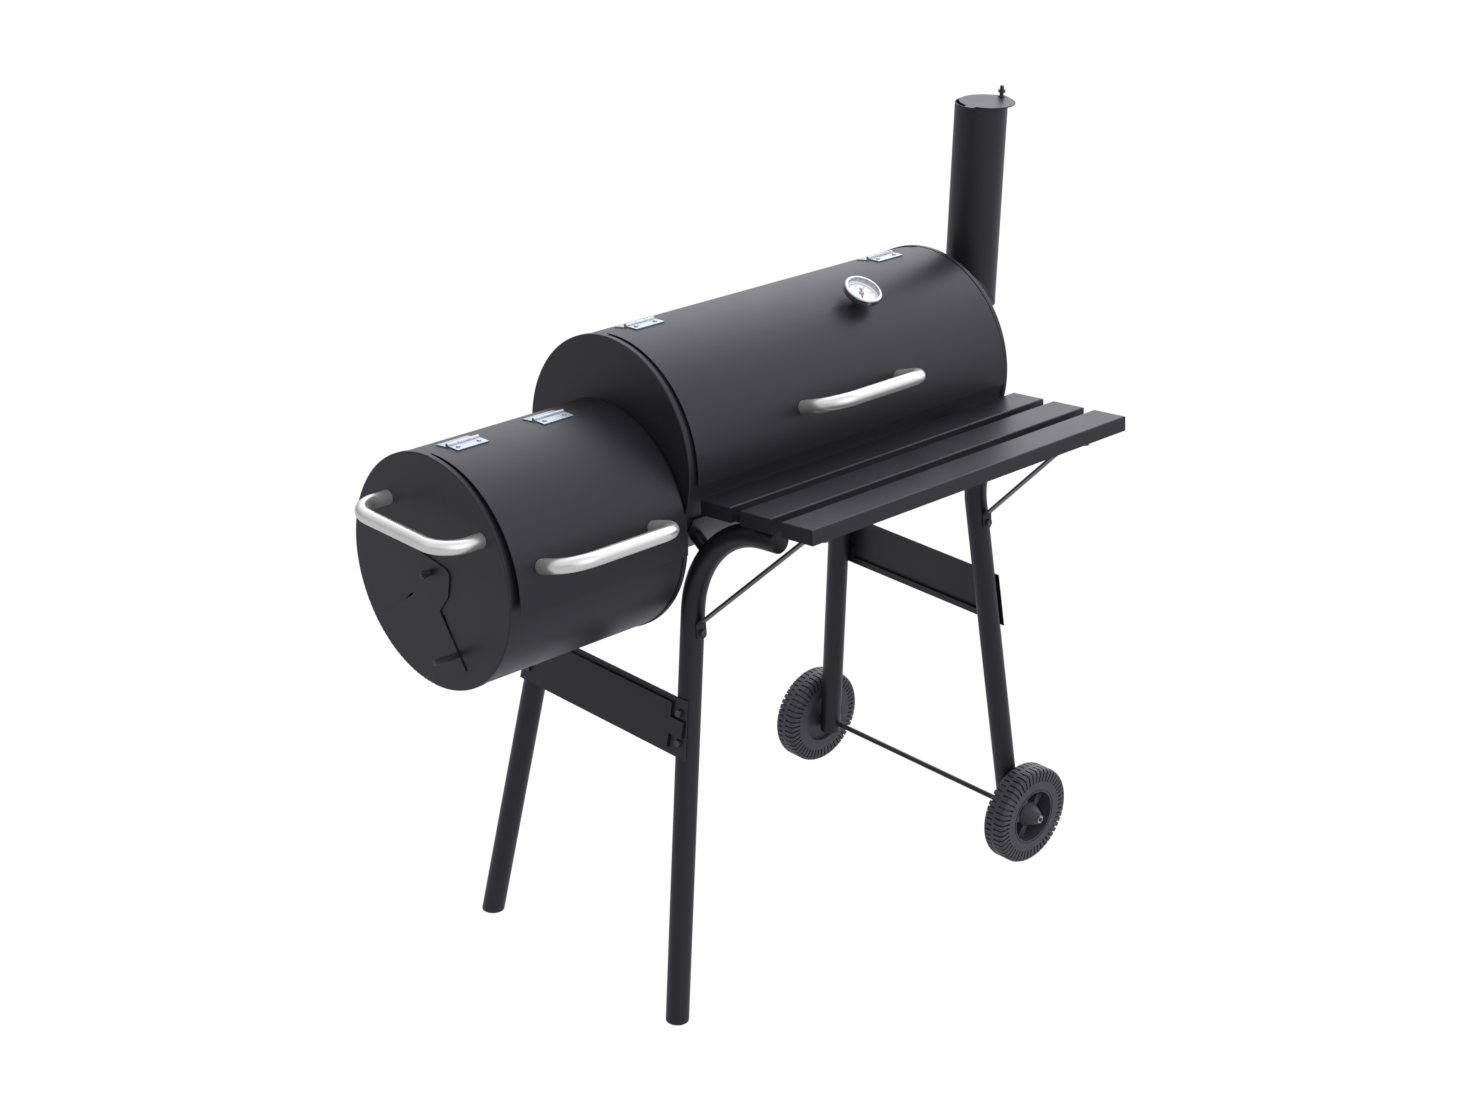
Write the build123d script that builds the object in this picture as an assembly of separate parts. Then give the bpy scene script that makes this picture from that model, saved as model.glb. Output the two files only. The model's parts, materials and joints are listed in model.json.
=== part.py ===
from build123d import *
from collections import namedtuple
import os
from math import atan2, cos, degrees, hypot, radians, sin, sqrt, tan

# Offset smoker, millimetres, +Z up.
# Drawing frame: x = 0 where the two barrels meet, +X towards the chimney,
# the table and the lid handles in front (-Y), y = 0 on the barrel axes, z = 0 on the floor.
# Angles round a barrel are measured from its top, positive towards the back (+Y).

# Barrels and their end caps
main_length = 638.0
main_height = 784.6
firebox_length = 305.5
firebox_height = 694.0
cap_radius = 160.0
cap_flange = 7.5
cap_corner = 2.0
sheet = 1.2
cap_fit = 0.2
opening_margin = 34.0
passage_radius = 66.0

# Lids
lid_lap = 12.0
main_lid_rise = 2.2
main_lid_forward = 2.0
main_lid_drop = 1.2
main_lid_inset = 12.0
main_lid_front = -91.6
main_hinge_angle = 8.0
main_left_hinge_inset = 73.0
main_right_hinge_inset = 91.0
firebox_lid_rise = 3.4
firebox_lid_forward = 6.5
firebox_lid_drop = 2.2
firebox_lid_inset = 9.5
firebox_lid_front = -91.0
firebox_hinge_angle = 5.8
firebox_left_hinge_inset = 64.1
firebox_right_hinge_inset = 97.5

# Butt hinges
hinge_length = 51.0
leaf_reach = 19.0
leaf_thickness = 1.5
knuckle_radius = 3.0
pin_radius = 1.6
pin_fit = 0.06
knuckle_gap = 0.4
seat_gap = 0.1
rivet_radius = 3.0
rivet_height = 1.4

# Bent tube handles
handle_radius = 10.0
handle_wall = 1.5
handle_span = 190.0
handle_reach = 60.0
handle_bend = 38.0
main_handle_angle = -70.2
main_handle_shift = -8.5
firebox_handle_angle = -72.2
firebox_handle_shift = -8.0
carry_handle_rise = 78.3
carry_handle_forward = 9.0

# Lid thermometer
thermometer_x = 402.5
thermometer_angle = -26.0
thermometer_radius = 28.0
thermometer_depth = 11.0
thermometer_neck = 13.0
thermometer_neck_radius = 7.0
thermometer_bezel = 4.0
thermometer_wall = 1.0
stem_radius = 3.5
stem_length = 62.0
dial_thickness = 0.8
glass_thickness = 1.5
spindle_radius = 1.0
needle_thickness = 0.6
needle_gap = 0.5
needle_fit = 0.05
needle_rest = -125.0

# Chimney
chimney_radius = 39.0
chimney_wall = 1.5
chimney_offset = 92.0
chimney_stub_rise = 82.0
chimney_top = 1148.0
chimney_collar = 14.0
chimney_collar_thickness = 2.0
flap_radius = 41.5
flap_reach = 38.5
flap_thickness = 1.5
flap_gap = 0.4
flap_turn = 7.5
flap_pivot_out = 6.0
flap_ear_radius = 9.0
flap_tab_reach = 9.0
flap_tab_width = 16.0
flap_washer = 1.0
flap_nut_rise = 5.0

# Air damper on the firebox end
damper_radius = 136.0
damper_half_angle = 40.0
damper_turn = -8.0
damper_hub_half_width = 40.0
damper_hub_top = 21.0
damper_hub_side = 18.0
damper_hub_corner = 12.0
damper_waist_half_width = 26.0
damper_waist_drop = 44.0
damper_thickness = 1.5
damper_gap = 0.4
damper_knob_radius = 4.0
damper_knob_length = 36.0
damper_knob_at = 112.0
damper_sleeve_radius = 4.5
damper_sleeve_length = 8.0
window_lap = 9.0
window_inner = 58.0
pivot_radius = 3.0
pivot_fit = 0.1

# Legs and table
leg_radius = 16.5
leg_wall = 1.5
foot_half_width = 202.5
left_foot_x = -45.0
right_foot_x = 680.0
side_lean = 7.07
front_lean = 5.9
rear_lean = 6.67
arm_bend = 127.0
table_edge_y = -163.3
table_edge_height = 759.8
table_left = 16.7
slat_length = 634.0
slat_width = 56.0
slat_gap = 19.0
slat_thickness = 21.3
slat_wall = 1.2
slat_corner = 2.0
slat_lip = 20.0
slat_names = ("inner_slat", "middle_slat", "outer_slat")
bar_width = 25.0
bar_thickness = 3.0
bar_setback = 8.0
arm_setback = 15.0
plug_depth = 12.0
plug_head = 2.5
foot_rim = 3.0
foot_round = 0.8
foot_depth = 22.0

# Saddles that hold the main barrel on the legs
saddle_thickness = 3.0
saddle_width = 42.0
saddle_half_angle = 13.0
sleeve_radius = 9.0

# Leg panels and table struts
panel_bottom = 385.0
panel_top = 469.0
panel_margin = 14.0
panel_sheet = 1.2
panel_emboss = 5.0
panel_border = 9.0
panel_bolt_edge = 21.0
panel_notch = 34.0
strut_width = 16.0
strut_thickness = 3.0
strut_corner = 5.0
strut_bolt_height = 562.0
strut_tab_below = 9.0
strut_tab_above = 14.0
strut_lean = 29.5
strut_setback = 8.6
strut_upper_tab = 28.0
strut_end_bolt = 7.0

# Wheels and axle
wheel_radius = 77.7
wheel_width = 38.0
wheel_centre_y = 226.5
shoulder = 7.0
tread_slot_count = 52
tread_slot_width = 2.6
tread_slot_depth = 3.0
tread_slot_end = 58.0
tread_rib = 5.0
rim_radius = 41.0
groove_width = 2.0
dish_slope = 2.0
web_thickness = 4.0
hub_radius = 20.0
hub_height = 8.0
hub_tip_radius = 9.6
hub_rise = 8.0
hub_setback = 7.0
spoke_count = 5
spoke_turn = 39.0
spoke_hub_width = 8.5
spoke_rim_width = 15.0
spoke_hub_level = 9.0
spoke_rim_level = 4.0
axle_radius = 4.0
axle_fit = 0.08
axle_thread_radius = 3.0
axle_nut_radius = 6.8
axle_nut_height = 5.0
axle_overhang = 1.5
leg_below_axle = 17.5

# Grates and the angles they lie on
grate_wire = 2.5
grate_pitch = 17.0
grate_end_gap = 6.0
cooking_grate_drop = 22.0
cooking_grate_half_width = 144.0
charcoal_grate_drop = 88.0
charcoal_grate_half_width = 114.0
firebox_grate_drop = 62.0
firebox_grate_half_width = 122.0
angle_length = 34.0
angle_leg = 16.0
angle_thickness = 2.0

# Bolts
bolt_radius = 3.0
bolt_head_radius = 5.5
bolt_head_height = 4.0
bolt_fit = 0.2
joint_bolt_spread = 56.0

# Sizes that follow from those above
flange_inner = cap_radius - sheet
shell_outer = flange_inner - cap_fit
shell_inner = shell_outer - sheet
firebox_face = -firebox_length
passage_height = (main_height + firebox_height) / 2
chimney_x = main_length + chimney_offset
chimney_stub_height = main_height + chimney_stub_rise
axle_height = wheel_radius
axle_shoulder = wheel_centre_y + wheel_width / 2 + hub_rise + cap_fit
table_depth = len(slat_names) * slat_width + (len(slat_names) - 1) * slat_gap
carried_depth = table_depth - slat_width - slat_gap
strut_end = table_depth - strut_setback

Lid = namedtuple("Lid", "outer centre front hinge_angle barrel_height")
lids = {
    "main": Lid(shell_outer + main_lid_rise + sheet, (-main_lid_forward, main_height - main_lid_drop),
                main_lid_front, main_hinge_angle, main_height),
    "firebox": Lid(shell_outer + firebox_lid_rise + sheet, (-firebox_lid_forward, firebox_height - firebox_lid_drop),
                   firebox_lid_front, firebox_hinge_angle, firebox_height),
}

bottom_centre = (Align.CENTER, Align.CENTER, Align.MIN)


# Helpers

def rod(start, end, radius):
    """A round bar between two points."""
    start, end = Vector(*start), Vector(*end)
    return Plane(origin=start, z_dir=end - start) * Cylinder(radius, (end - start).length, align=bottom_centre)


def polar(radius, angle):
    """A point of a barrel section: distance from the axis and angle from the top."""
    return (radius * sin(radians(angle)), radius * cos(radians(angle)))


def turn(length, radius):
    """The angle that a length takes round a barrel."""
    return degrees(length / radius)


def arc_strip(inner, outer, start, stop):
    """A ring sector in a barrel section."""
    middle = (start + stop) / 2
    edges = [
        ThreePointArc(polar(inner, start), polar(inner, middle), polar(inner, stop)),
        Line(polar(inner, stop), polar(outer, stop)),
        ThreePointArc(polar(outer, stop), polar(outer, middle), polar(outer, start)),
        Line(polar(outer, start), polar(inner, start)),
    ]
    return make_face(edges)


def section(x, centre=(0.0, 0.0)):
    """The plane across a barrel at x, drawn in y and z from the given centre."""
    return Plane(origin=(x, centre[0], centre[1]), x_dir=(0, 1, 0), z_dir=(1, 0, 0))


def along_x(face, start, stop, centre=(0.0, 0.0)):
    """A barrel section drawn out along X."""
    return extrude(section(start, centre) * face, stop - start)


def radial(x, angle, level, centre):
    """A plane that sits on a barrel at an angle, with its normal pointing outwards."""
    y, z = polar(level, angle)
    return Plane(origin=(x, centre[0] + y, centre[1] + z), x_dir=(1, 0, 0),
                 z_dir=(0, sin(radians(angle)), cos(radians(angle))))


def group(parts):
    """Separate solids that share one node."""
    return Compound([solid for part in parts for solid in part.solids()])


def hexagon(radius, height):
    """A bolt head or nut standing on its plane."""
    return extrude(RegularPolygon(radius, 6), height)


def bolt(plane, grip):
    """A bolt through a joint of the given grip below its plane, with its nut underneath."""
    shank = Pos(0, 0, -grip - bolt_head_height) * Cylinder(
        bolt_radius, grip + 2 * bolt_head_height, align=bottom_centre)
    nut = Pos(0, 0, -grip - bolt_head_height) * hexagon(bolt_head_radius, bolt_head_height)
    return plane * (shank + hexagon(bolt_head_radius, bolt_head_height) + nut)


# Barrels

def end_cap(face_x, direction, height):
    """A pressed disc with a rounded rim and a flange that runs over the end of the shell."""
    outer = Cylinder(cap_radius, cap_flange, align=bottom_centre)
    outer = fillet(outer.edges().group_by(Axis.Z)[0], cap_corner)
    inner = Pos(0, 0, sheet) * Cylinder(flange_inner, cap_flange, align=bottom_centre)
    inner = fillet(inner.edges().group_by(Axis.Z)[0], cap_corner - sheet)
    plane = Plane(origin=(face_x, 0, height), x_dir=(0, 1, 0), z_dir=(direction, 0, 0))
    return plane * (outer - inner)


def barrel_shell(start, stop, lid):
    """The rolled sheet between two caps, with the lid opening cut out of its top and front."""
    centre = (0.0, lid.barrel_height)
    ring = along_x(Circle(shell_outer) - Circle(shell_inner), start + cap_corner, stop - cap_corner, centre)
    front = lid.front + turn(lid_lap, shell_outer)
    back = lid.hinge_angle - turn(leaf_reach, shell_outer)
    opening = arc_strip(shell_inner - sheet, shell_outer + sheet, front, back)
    return ring - along_x(opening, start + opening_margin, stop - opening_margin, centre)


def joint_bolt_places():
    """Where the two facing caps are bolted together round the smoke passage."""
    spread = (-joint_bolt_spread, joint_bolt_spread)
    return [(y, passage_height + z) for y in spread for z in spread]


def passage_cut():
    """The smoke passage and its bolt holes, cut through both facing caps."""
    span = 2 * sheet
    cut = along_x(Circle(passage_radius), -span, span, (0, passage_height))
    for place in joint_bolt_places():
        cut += along_x(Circle(bolt_radius + bolt_fit), -span, span, place)
    return cut


def joint_bolts():
    planes = [Plane(origin=(sheet, y, z), z_dir=(1, 0, 0)) for y, z in joint_bolt_places()]
    return group([bolt(plane, 2 * sheet) for plane in planes])


# Lids and hinges

def lid_sheet(lid, start, stop):
    """The curved lid from its front edge to just in front of the hinge knuckles."""
    back = lid.hinge_angle - turn(knuckle_radius + knuckle_gap + seat_gap, lid.outer)
    return along_x(arc_strip(lid.outer - sheet, lid.outer, lid.front, back), start, stop, lid.centre)


def pin_centre(lid):
    """The hinge axis of a lid, in y and z."""
    y, z = polar(lid.outer + seat_gap + leaf_thickness, lid.hinge_angle)
    return (lid.centre[0] + y, lid.centre[1] + z)


def hinge(lid, x):
    """Lid leaf, fixed leaf and pin of one butt hinge centred at x."""
    knuckle = hinge_length / 3
    left, right = x - hinge_length / 2, x + hinge_length / 2
    inner_left, inner_right = left + knuckle + knuckle_gap / 2, right - knuckle - knuckle_gap / 2
    pin_y, pin_z = pin_centre(lid)
    ring = Circle(knuckle_radius)
    bore = along_x(Circle(pin_radius + pin_fit), left, right, (pin_y, pin_z))

    level = lid.outer + seat_gap
    tip = lid.hinge_angle - turn(leaf_reach + knuckle_radius, lid.outer)
    leaf = along_x(arc_strip(level, level + leaf_thickness, tip, lid.hinge_angle), left, right, lid.centre)
    leaf -= along_x(Circle(knuckle_radius + knuckle_gap), inner_left - knuckle_gap, inner_right + knuckle_gap,
                    (pin_y, pin_z))
    leaf += along_x(ring, left, inner_left - knuckle_gap, (pin_y, pin_z))
    leaf += along_x(ring, inner_right + knuckle_gap, right, (pin_y, pin_z))
    leaf -= bore

    # The fixed leaf lies on the shell behind the knuckle and steps up to it.
    shell_centre = (0.0, lid.barrel_height)
    pin_angle = degrees(atan2(pin_y, pin_z - lid.barrel_height))
    pin_distance = hypot(pin_y, pin_z - lid.barrel_height)
    low = shell_outer + seat_gap
    near = pin_angle + turn(knuckle_radius + knuckle_gap, shell_outer)
    far = near + turn(leaf_reach, shell_outer)
    fixed = along_x(arc_strip(low, low + leaf_thickness, near, far), left, right, shell_centre)
    step = arc_strip(low, pin_distance, pin_angle + turn(pin_radius, shell_outer),
                     near + turn(leaf_thickness, shell_outer))
    fixed += along_x(step, inner_left, inner_right, shell_centre)
    fixed += along_x(ring, inner_left, inner_right, (pin_y, pin_z))
    fixed -= bore

    pin = along_x(Circle(pin_radius), left, right, (pin_y, pin_z))
    return leaf, fixed, pin


def rivet_planes(lid, x):
    """Where the two rivets of a lid leaf sit on it."""
    place = lid.hinge_angle - turn(knuckle_radius + leaf_reach / 2, lid.outer)
    level = lid.outer + seat_gap + leaf_thickness
    return [radial(x + side * hinge_length / 3, place, level, lid.centre) for side in (-1, 1)]


def lid_rivets(lid, x):
    """Round heads with shanks through the lid leaf."""
    head = Cylinder(rivet_radius, rivet_height, align=bottom_centre)
    shank = Pos(0, 0, -leaf_thickness - seat_gap) * Cylinder(
        rivet_radius / 2, leaf_thickness + seat_gap, align=bottom_centre)
    return [plane * (head + shank) for plane in rivet_planes(lid, x)]


def rivet_holes(lid, x):
    hole = Cylinder(rivet_radius / 2 + pin_fit, 4 * leaf_thickness)
    return [plane * hole for plane in rivet_planes(lid, x)]


def handle(plane):
    """A tube bent into a bow that stands on a plane, its span along the plane's X axis."""
    half = handle_span / 2
    path = FilletPolyline((-half, 0, 0), (-half, 0, handle_reach), (half, 0, handle_reach), (half, 0, 0),
                          radius=handle_bend)
    ring = Circle(handle_radius) - Circle(handle_radius - handle_wall)
    return plane * sweep(Plane(origin=(-half, 0, 0), z_dir=(0, 0, 1)) * ring, path)


# Thermometer on the main lid

thermometer_plane = radial(thermometer_x, thermometer_angle, lids["main"].outer + seat_gap, lids["main"].centre)
dial_level = thermometer_neck + thermometer_wall
needle_level = dial_level + dial_thickness + needle_gap
glass_level = thermometer_neck + thermometer_depth - glass_thickness - thermometer_wall


def thermometer_case():
    """A pressed pan with a rolled bezel on a threaded neck."""
    pan = Pos(0, 0, thermometer_neck) * Cylinder(thermometer_radius, thermometer_depth, align=bottom_centre)
    pan = fillet(pan.edges().group_by(Axis.Z)[0], thermometer_bezel)
    pan = fillet(pan.edges().group_by(Axis.Z)[-1], thermometer_bezel / 2)
    bore = Pos(0, 0, dial_level) * Cylinder(
        thermometer_radius - 2 * thermometer_wall, thermometer_depth - 2 * thermometer_wall, align=bottom_centre)
    window = Pos(0, 0, dial_level) * Cylinder(
        thermometer_radius - thermometer_bezel, thermometer_depth, align=bottom_centre)
    neck = Cylinder(thermometer_neck_radius, thermometer_neck, align=bottom_centre)
    return thermometer_plane * (pan - bore - window + neck - stem_hole())


def stem_hole():
    return Pos(0, 0, -stem_length) * Cylinder(stem_radius + pin_fit, stem_length + dial_level, align=bottom_centre)


def thermometer_stem():
    """Probe through the lid with its lock nut inside and the needle's spindle on top."""
    probe = Pos(0, 0, -stem_length) * Cylinder(stem_radius, stem_length + dial_level, align=bottom_centre)
    spindle = Pos(0, 0, dial_level) * Cylinder(
        spindle_radius, needle_level + 2 * needle_thickness - dial_level, align=bottom_centre)
    nut = Pos(0, 0, -sheet - 4 * seat_gap - bolt_head_height) * hexagon(
        thermometer_neck_radius, bolt_head_height)
    return thermometer_plane * (probe + spindle + nut)


def thermometer_dial():
    disc = Cylinder(thermometer_radius - 2 * thermometer_wall - needle_fit, dial_thickness, align=bottom_centre)
    hole = Cylinder(spindle_radius + needle_fit, dial_thickness, align=bottom_centre)
    return thermometer_plane * Pos(0, 0, dial_level) * (disc - hole)


def thermometer_glass():
    return thermometer_plane * Pos(0, 0, glass_level) * Cylinder(
        thermometer_radius - 2 * thermometer_wall - needle_fit, glass_thickness, align=bottom_centre)


def thermometer_needle():
    """A tapered pointer with a short tail, balanced about its hub."""
    hub = 4 * spindle_radius
    tip = thermometer_radius - thermometer_bezel - 3 * thermometer_wall
    tail = tip / 2
    pointer = make_face(Polyline((-tail, -hub / 2), (tip, -needle_thickness), (tip, needle_thickness),
                                 (-tail, hub / 2), close=True))
    outline = pointer + Circle(hub) - Circle(spindle_radius + needle_fit)
    return thermometer_plane * Pos(0, 0, needle_level) * Rot(0, 0, needle_rest) * extrude(outline, needle_thickness)


# Chimney

chimney_mitre = Plane(origin=(chimney_x, 0, chimney_stub_height), x_dir=(0, 1, 0), z_dir=(1, 0, 1))


def chimney_upright(radius, extra):
    """The round of the upright pipe, cut off along the mitre."""
    foot = chimney_stub_height - 2 * chimney_radius
    pipe = rod((chimney_x, 0, foot), (chimney_x, 0, chimney_top + extra), radius)
    return split(pipe, chimney_mitre, keep=Keep.TOP)


def chimney_level(radius, extra):
    """The round of the level pipe, cut off along the mitre."""
    end = chimney_x + 2 * chimney_radius
    pipe = rod((main_length - extra, 0, chimney_stub_height), (end, 0, chimney_stub_height), radius)
    return split(pipe, chimney_mitre, keep=Keep.BOTTOM)


def chimney_pipe():
    """Upright pipe, mitred below, with the lug for the flap's bolt at its top."""
    lug = flap_axis() * Box(
        2 * (flap_pivot_out + chimney_wall), 2 * flap_ear_radius, bolt_head_height,
        align=(Align.CENTER, Align.CENTER, Align.MAX))
    pipe = chimney_upright(chimney_radius, 0) + lug - chimney_upright(chimney_radius - chimney_wall, sheet)
    return pipe - flap_axis() * Cylinder(pivot_radius + pivot_fit, 4 * bolt_head_height)


def chimney_neck():
    """Level pipe, welded to the upright along the mitre, with the collar that bolts to the end cap."""
    collar = rod((main_length, 0, chimney_stub_height),
                 (main_length + chimney_collar_thickness, 0, chimney_stub_height), chimney_radius + chimney_collar)
    neck = chimney_level(chimney_radius, 0) + collar - chimney_level(chimney_radius - chimney_wall, sheet)
    return neck - collar_bolt_holes()


def collar_bolt_holes():
    return [plane * Cylinder(bolt_radius + bolt_fit, 4 * chimney_collar_thickness) for plane in collar_bolt_planes()]


def collar_bolt_planes():
    ring = chimney_radius + chimney_collar / 2
    places = [polar(ring, 45 + 90 * quarter) for quarter in range(4)]
    x = main_length + chimney_collar_thickness
    return [Plane(origin=(x, y, chimney_stub_height + z), z_dir=(1, 0, 0)) for y, z in places]


def collar_bolts():
    return group([bolt(plane, chimney_collar_thickness + sheet) for plane in collar_bolt_planes()])


def flap_axis():
    return Pos(chimney_x + chimney_radius + flap_pivot_out, 0, chimney_top)


def chimney_flap():
    """Round rain flap with a pivot ear and a finger tab, a little open."""
    disc = Pos(-flap_reach, 0) * Circle(flap_radius)
    ear = make_hull((disc + Circle(flap_ear_radius)).edges())
    tab = Pos(-flap_reach - flap_radius, 0) * RectangleRounded(2 * flap_tab_reach, flap_tab_width, flap_tab_width / 4)
    outline = ear + tab - Circle(pivot_radius + pivot_fit)
    return flap_axis() * Pos(0, 0, flap_gap) * Rot(0, 0, flap_turn) * extrude(outline, flap_thickness)


def flap_bolt():
    """Pivot bolt with its head under the lug, a washer on the flap and a nut above."""
    top = flap_gap + flap_thickness + flap_gap
    nut_level = top + flap_washer + flap_nut_rise
    head = Pos(0, 0, -2 * bolt_head_height) * hexagon(bolt_head_radius, bolt_head_height)
    shank = Pos(0, 0, -bolt_head_height) * Cylinder(
        pivot_radius, nut_level + 3.5 * bolt_head_height, align=bottom_centre)
    washer = Pos(0, 0, top) * Cylinder(bolt_head_radius, flap_washer, align=bottom_centre)
    nut = Pos(0, 0, nut_level) * hexagon(bolt_head_radius, bolt_head_height)
    return flap_axis() * (head + shank + washer + nut)


# Air damper

damper_plane = Plane(origin=(firebox_face, 0, firebox_height), x_dir=(0, -1, 0), z_dir=(-1, 0, 0))


def sector(radius, inner, half_angle):
    """A ring sector that hangs down from the pivot, drawn with its corners on radial lines."""
    def at(distance, angle):
        return (distance * sin(radians(angle)), -distance * cos(radians(angle)))
    return make_face([
        ThreePointArc(at(inner, -half_angle), at(inner, 0), at(inner, half_angle)),
        Line(at(inner, half_angle), at(radius, half_angle)),
        ThreePointArc(at(radius, half_angle), at(radius, 0), at(radius, -half_angle)),
        Line(at(radius, -half_angle), at(inner, -half_angle)),
    ])


def damper_window():
    """The air inlet behind the closed damper."""
    half_angle = damper_half_angle - degrees(window_lap / damper_radius)
    cut = extrude(sector(damper_radius - window_lap, window_inner, half_angle), 4 * sheet, both=True)
    hole = Cylinder(pivot_radius + pivot_fit, 8 * sheet)
    return damper_plane * Rot(0, 0, damper_turn) * (cut + hole)


def damper_plate():
    """Fan-shaped plate with a broad rounded hub above a waist, turned a little towards the back."""
    edge_x = damper_radius * sin(radians(damper_half_angle))
    edge_y = -damper_radius * cos(radians(damper_half_angle))
    hub = make_face(Polyline(
        (-damper_hub_half_width, damper_hub_top), (damper_hub_half_width, damper_hub_top),
        (damper_hub_half_width, -damper_hub_side), (damper_waist_half_width, -damper_waist_drop),
        (-damper_waist_half_width, -damper_waist_drop), (-damper_hub_half_width, -damper_hub_side), close=True))
    hub = fillet(hub.vertices().filter_by(lambda corner: corner.Y > -damper_waist_drop / 2), damper_hub_corner)
    fan = make_face([
        Line((-damper_waist_half_width, -damper_waist_drop), (damper_waist_half_width, -damper_waist_drop)),
        Line((damper_waist_half_width, -damper_waist_drop), (edge_x, edge_y)),
        ThreePointArc((edge_x, edge_y), (0, -damper_radius), (-edge_x, edge_y)),
        Line((-edge_x, edge_y), (-damper_waist_half_width, -damper_waist_drop)),
    ])
    outline = hub + fan - Circle(pivot_radius + pivot_fit)
    plate = Pos(0, 0, damper_gap) * extrude(outline, damper_thickness)
    plate -= damper_knob_place() * Cylinder(damper_knob_radius / 2 + pin_fit, 8 * damper_thickness)
    return damper_plane * Rot(0, 0, damper_turn) * plate


def damper_knob_place():
    angle = damper_half_angle - degrees(2 * damper_knob_radius / damper_knob_at)
    return Pos(damper_knob_at * sin(radians(angle)), -damper_knob_at * cos(radians(angle)), 0)


def damper_knob():
    """A plain rod with a riveted neck through the plate."""
    top = damper_gap + damper_thickness
    neck = Pos(0, 0, damper_gap) * Cylinder(damper_knob_radius / 2, damper_thickness, align=bottom_centre)
    body = Pos(0, 0, top) * Cylinder(damper_knob_radius, damper_knob_length, align=bottom_centre)
    return damper_plane * Rot(0, 0, damper_turn) * damper_knob_place() * (neck + body)


def damper_bolt():
    """Pivot bolt with its head inside the cap, and a sleeve and nut outside the plate."""
    top = damper_gap + damper_thickness + damper_gap
    nut_level = top + damper_sleeve_length
    head = Pos(0, 0, -sheet - bolt_head_height) * hexagon(bolt_head_radius, bolt_head_height)
    shank = Pos(0, 0, -sheet) * Cylinder(
        pivot_radius, sheet + nut_level + 1.5 * bolt_head_height, align=bottom_centre)
    sleeve = Pos(0, 0, top) * Cylinder(damper_sleeve_radius, damper_sleeve_length, align=bottom_centre)
    nut = Pos(0, 0, nut_level) * hexagon(bolt_head_radius, bolt_head_height)
    return damper_plane * (head + shank + sleeve + nut)


# Legs, arms and saddles

table_forward = Vector(0, -cos(radians(front_lean)), sin(radians(front_lean)))
table_normal = Vector(0, sin(radians(front_lean)), cos(radians(front_lean)))
table_edge = Vector(0, table_edge_y, table_edge_height)


def leg_direction(side, lean, towards):
    """Unit vector up a leg: side +1 leans to +X, towards +1 leans to +Y."""
    return Vector(side * tan(radians(side_lean)), towards * tan(radians(lean)), 1).normalized()


def front_leg_points(foot_x, side):
    """Foot, bend start, bend end and arm end of a front leg and its table arm."""
    foot = Vector(foot_x, -foot_half_width, 0)
    up = leg_direction(side, front_lean, 1)
    drop = slat_thickness + bar_thickness + leg_radius
    rise = ((table_edge - foot).dot(table_normal) - drop) / up.dot(table_normal)
    start = foot + up * (rise - arm_bend)
    corner = foot + up * rise
    end = corner + table_forward * arm_bend
    stop_distance = carried_depth - arm_setback - (end - table_edge).dot(table_forward)
    return foot, start, corner, end, end + table_forward * stop_distance


def front_leg_solid(foot_x, side, radius, reach=0.0):
    foot, start, corner, end, tip = front_leg_points(foot_x, side)
    up = (corner - foot).normalized()
    centre = start + table_forward * arm_bend
    middle = centre - (table_forward - up).normalized() * arm_bend
    low = foot - up * 2 * leg_radius
    path = Line(low, start) + ThreePointArc(start, middle, end) + Line(end, tip + table_forward * reach)
    return sweep(Plane(origin=low, z_dir=up) * Circle(radius), path)


def rear_leg_solid(foot_x, side, radius):
    foot = Vector(foot_x, foot_half_width, 0)
    up = leg_direction(side, rear_lean, -1)
    return rod(foot - up * 2 * leg_radius, foot + up * (main_height - cap_radius / 2), radius)


def above(height):
    """Everything over a level."""
    size = 4 * main_length
    return Pos(main_length / 2, 0, height) * Box(size, size, size, align=bottom_centre)


def barrel_core(radius):
    return rod((-cap_radius, 0, main_height), (main_length + cap_radius, 0, main_height), radius)


saddle_inner = shell_outer + seat_gap
saddle_outer = saddle_inner + saddle_thickness


def saddle(x, angle):
    """A curved pad that follows the underside of the main barrel."""
    strip = arc_strip(saddle_inner, saddle_outer, angle - saddle_half_angle, angle + saddle_half_angle)
    return along_x(strip, x - saddle_width / 2, x + saddle_width / 2, (0, main_height))


def front_saddle_place(foot_x, side):
    """Angle and x of the front pad: where the bend of the leg comes nearest to the barrel."""
    foot, start, corner, end, tip = front_leg_points(foot_x, side)
    up = (corner - foot).normalized()
    centre = start + table_forward * arm_bend
    inward = Vector(0, -centre.Y, main_height - centre.Z).normalized()
    nearest = centre + (table_forward * inward.dot(table_forward) + up * inward.dot(table_normal)) * arm_bend
    return nearest, degrees(atan2(nearest.Y, nearest.Z - main_height))


def rear_saddle_place(foot_x, side):
    """Angle and x of the rear pad: where the leg's axis runs into the pad."""
    foot = Vector(foot_x, foot_half_width, 0)
    up = leg_direction(side, rear_lean, -1)
    slope = hypot(up.Y, up.Z)
    along = (up.Y * foot.Y + up.Z * (foot.Z - main_height)) / slope
    across = foot.Y ** 2 + (foot.Z - main_height) ** 2 - saddle_outer ** 2
    meet = foot + up * ((-along - sqrt(along ** 2 - across)) / slope)
    return meet, degrees(atan2(meet.Y, meet.Z - main_height))


def axle_hole():
    return rod((axle_x, -2 * foot_half_width, axle_height), (axle_x, 2 * foot_half_width, axle_height),
               axle_radius + bolt_fit)


axle_x = right_foot_x - axle_height * tan(radians(side_lean))


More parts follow.
